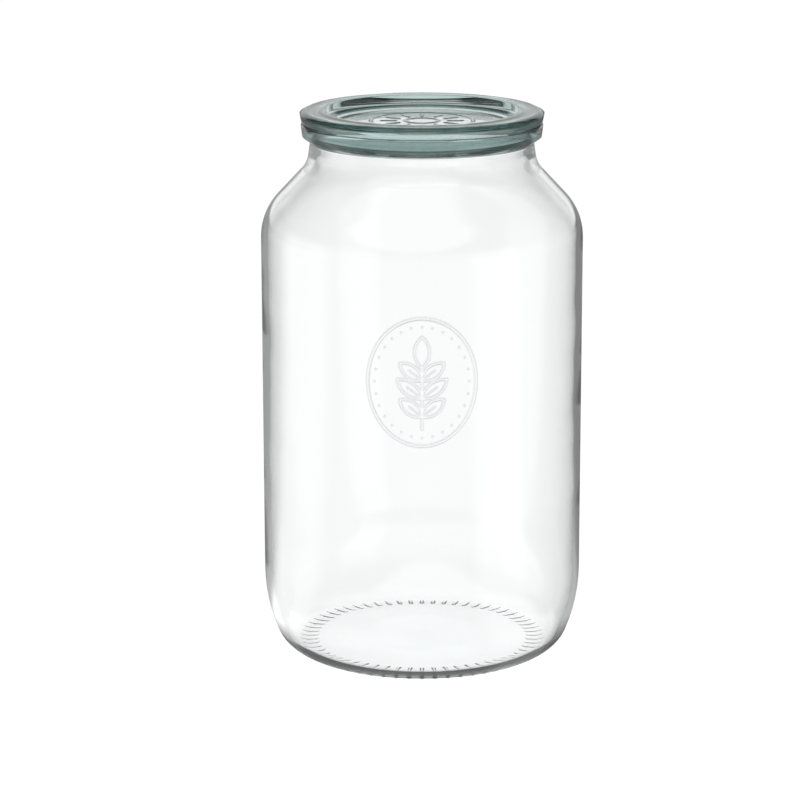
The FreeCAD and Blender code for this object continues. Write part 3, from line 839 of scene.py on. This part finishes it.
upper = blend_value(nodes, links, ceiling, upper, CEILING_LEVEL)
strength = blend_value(nodes, links, seen_straight(nodes, links), upper, BACKDROP_LEVEL)
links.new(strength, background.inputs["Strength"])
links.new(background.outputs["Background"], output.inputs["Surface"])
print("world: %d nodes" % len(nodes))

# %% [markdown]
# ## The table
# The jar stands on a pale matt table that glows a little, so that it stays white
# at any distance. A bare white sheet would need strong lamps, and they would show
# in the glass. Light mirrored inside the wall ends on the table close to the foot,
# so a painted shade there, a darker ring seen only by such light, draws the line
# under the heel. Elsewhere such light sees on the table the studio's brightness,
# a little darker.

# %% Lay the table
FLOOR_HALF = 12.0
FLOOR_DROP = 0.0002
FLOOR_COLOUR = (0.12, 0.12, 0.12)
FLOOR_LEVEL = 0.88
# Painted light: under the jar the table glows brighter for unmirrored light, where the jar's shadow falls.
FLOOR_PAINTED_LIGHT_UNDER = 0.96
MIRRORED_LESS = 0.08
SHADE_INSIDE = 0.90
SHADE_FALL = 0.80
POLISH = 0.05

floor_mesh = bpy.data.meshes.new("floor")
floor_corners = [(-FLOOR_HALF, -FLOOR_HALF), (FLOOR_HALF, -FLOOR_HALF),
                 (FLOOR_HALF, FLOOR_HALF), (-FLOOR_HALF, FLOOR_HALF)]
floor_mesh.from_pydata([(x, y, -FLOOR_DROP) for x, y in floor_corners], [], [(0, 1, 2, 3)])
floor = bpy.data.objects.new("floor", floor_mesh)
bpy.context.scene.collection.objects.link(floor)

paint = bpy.data.materials.new("floor_white")
paint.use_nodes = True
nodes, links = paint.node_tree.nodes, paint.node_tree.links
nodes.clear()
output = nodes.new("ShaderNodeOutputMaterial")
matt = nodes.new("ShaderNodeBsdfDiffuse")
matt.inputs["Color"].default_value = (*FLOOR_COLOUR, 1)
glow = nodes.new("ShaderNodeEmission")
on_floor = nodes.new("ShaderNodeTexCoord").outputs["Object"]
reach = nodes.new("ShaderNodeVectorMath")
reach.operation = "LENGTH"
links.new(on_floor, reach.inputs[0])
# Painted shade: a dark ring on the table under the heel, seen only by mirrored light.
under = fade_between(nodes, links, reach.outputs["Value"], 0.053, 0.058)
beyond = fade_between(nodes, links, reach.outputs["Value"], 0.063, 0.090)
shade = maths(nodes, links, "MULTIPLY_ADD", under, -SHADE_FALL, SHADE_INSIDE)
shade = blend_value(nodes, links, beyond, shade, 1.0)
mirrored = maths(nodes, links, "SUBTRACT", surroundings(nodes, links, on_floor), MIRRORED_LESS)
dimmed = maths(nodes, links, "MULTIPLY", mirrored, shade)
# Painted light under the jar, where its shadow falls on the table.
bare = blend_value(nodes, links, beyond, FLOOR_PAINTED_LIGHT_UNDER, FLOOR_LEVEL)
strength = blend_value(nodes, links, seen_straight(nodes, links), dimmed, bare)
links.new(strength, glow.inputs["Strength"])
both = nodes.new("ShaderNodeAddShader")
links.new(matt.outputs["BSDF"], both.inputs[0])
links.new(glow.outputs["Emission"], both.inputs[1])
polish = nodes.new("ShaderNodeBsdfGlossy")
polish.inputs["Color"].default_value = (POLISH, POLISH, POLISH, 1)
polish.inputs["Roughness"].default_value = 0.06
whole = nodes.new("ShaderNodeAddShader")
links.new(both.outputs["Shader"], whole.inputs[0])
links.new(polish.outputs["BSDF"], whole.inputs[1])
links.new(whole.outputs["Shader"], output.inputs["Surface"])
floor.data.materials.append(paint)
print("table: %.0f m square, %d nodes" % (2 * FLOOR_HALF, len(nodes)))

# %% [markdown]
# ## The lamp
# One large, weak lamp overhead gives the table its faint shadow. It could be a
# sun or a spot, but a broad panel keeps the shadow soft. The glass doesn't show
# it, because the soft boxes that the glass should show are in the world.

# %% Hang the lamp
LAMP_AIM = (0, 0, 0.12)


def lamp(name, place, size, power):
    """A square area lamp that faces the middle of the jar."""
    data = bpy.data.lights.new(name, "AREA")
    data.size = size
    data.energy = power
    piece = bpy.data.objects.new(name, data)
    bpy.context.scene.collection.objects.link(piece)
    piece.location = place
    aim = mathutils.Vector(LAMP_AIM) - piece.location
    piece.rotation_euler = aim.to_track_quat("-Z", "Y").to_euler()
    piece.visible_glossy = False
    piece.visible_transmission = False
    piece.visible_camera = False
    print("lamp %s: %.1f m wide, %.0f W" % (name, size, power))


lamp("overhead", (0.0, -0.3, 2.2), 2.4, 10)

# %% [markdown]
# ## The camera
# The camera stands a good metre in front of the jar and a little above it, so
# that the rim shows as a narrow oval. A long lens keeps the sides nearly upright.

# %% Place the camera
CAMERA_PLACE = (0, -1.4038, 0.4647)
CAMERA_DOWN = 13.95
camera_data = bpy.data.cameras.new("camera")
camera_data.sensor_width = 36
camera_data.lens = 141.75
camera_data.shift_x = -0.0275
camera = bpy.data.objects.new("camera", camera_data)
bpy.context.scene.collection.objects.link(camera)
camera.location = CAMERA_PLACE
camera.rotation_euler = (math.radians(90 - CAMERA_DOWN), 0, 0)
bpy.context.scene.camera = camera
print("camera: %.2f mm lens, %.2f degrees down" % (camera_data.lens, CAMERA_DOWN))

# %% [markdown]
# ## The view and the light's bounces
# Light crosses four glass faces on its way through the jar, and more where it is
# mirrored inside the wall. With few bounces those ways would end in black.

# %% Set the view and the bounces
scene = bpy.context.scene
scene.view_settings.view_transform = "Standard"
scene.cycles.max_bounces = 24
scene.cycles.transmission_bounces = 24
scene.cycles.glossy_bounces = 12
scene.cycles.transparent_max_bounces = 16
print("bounces: %d" % scene.cycles.max_bounces)
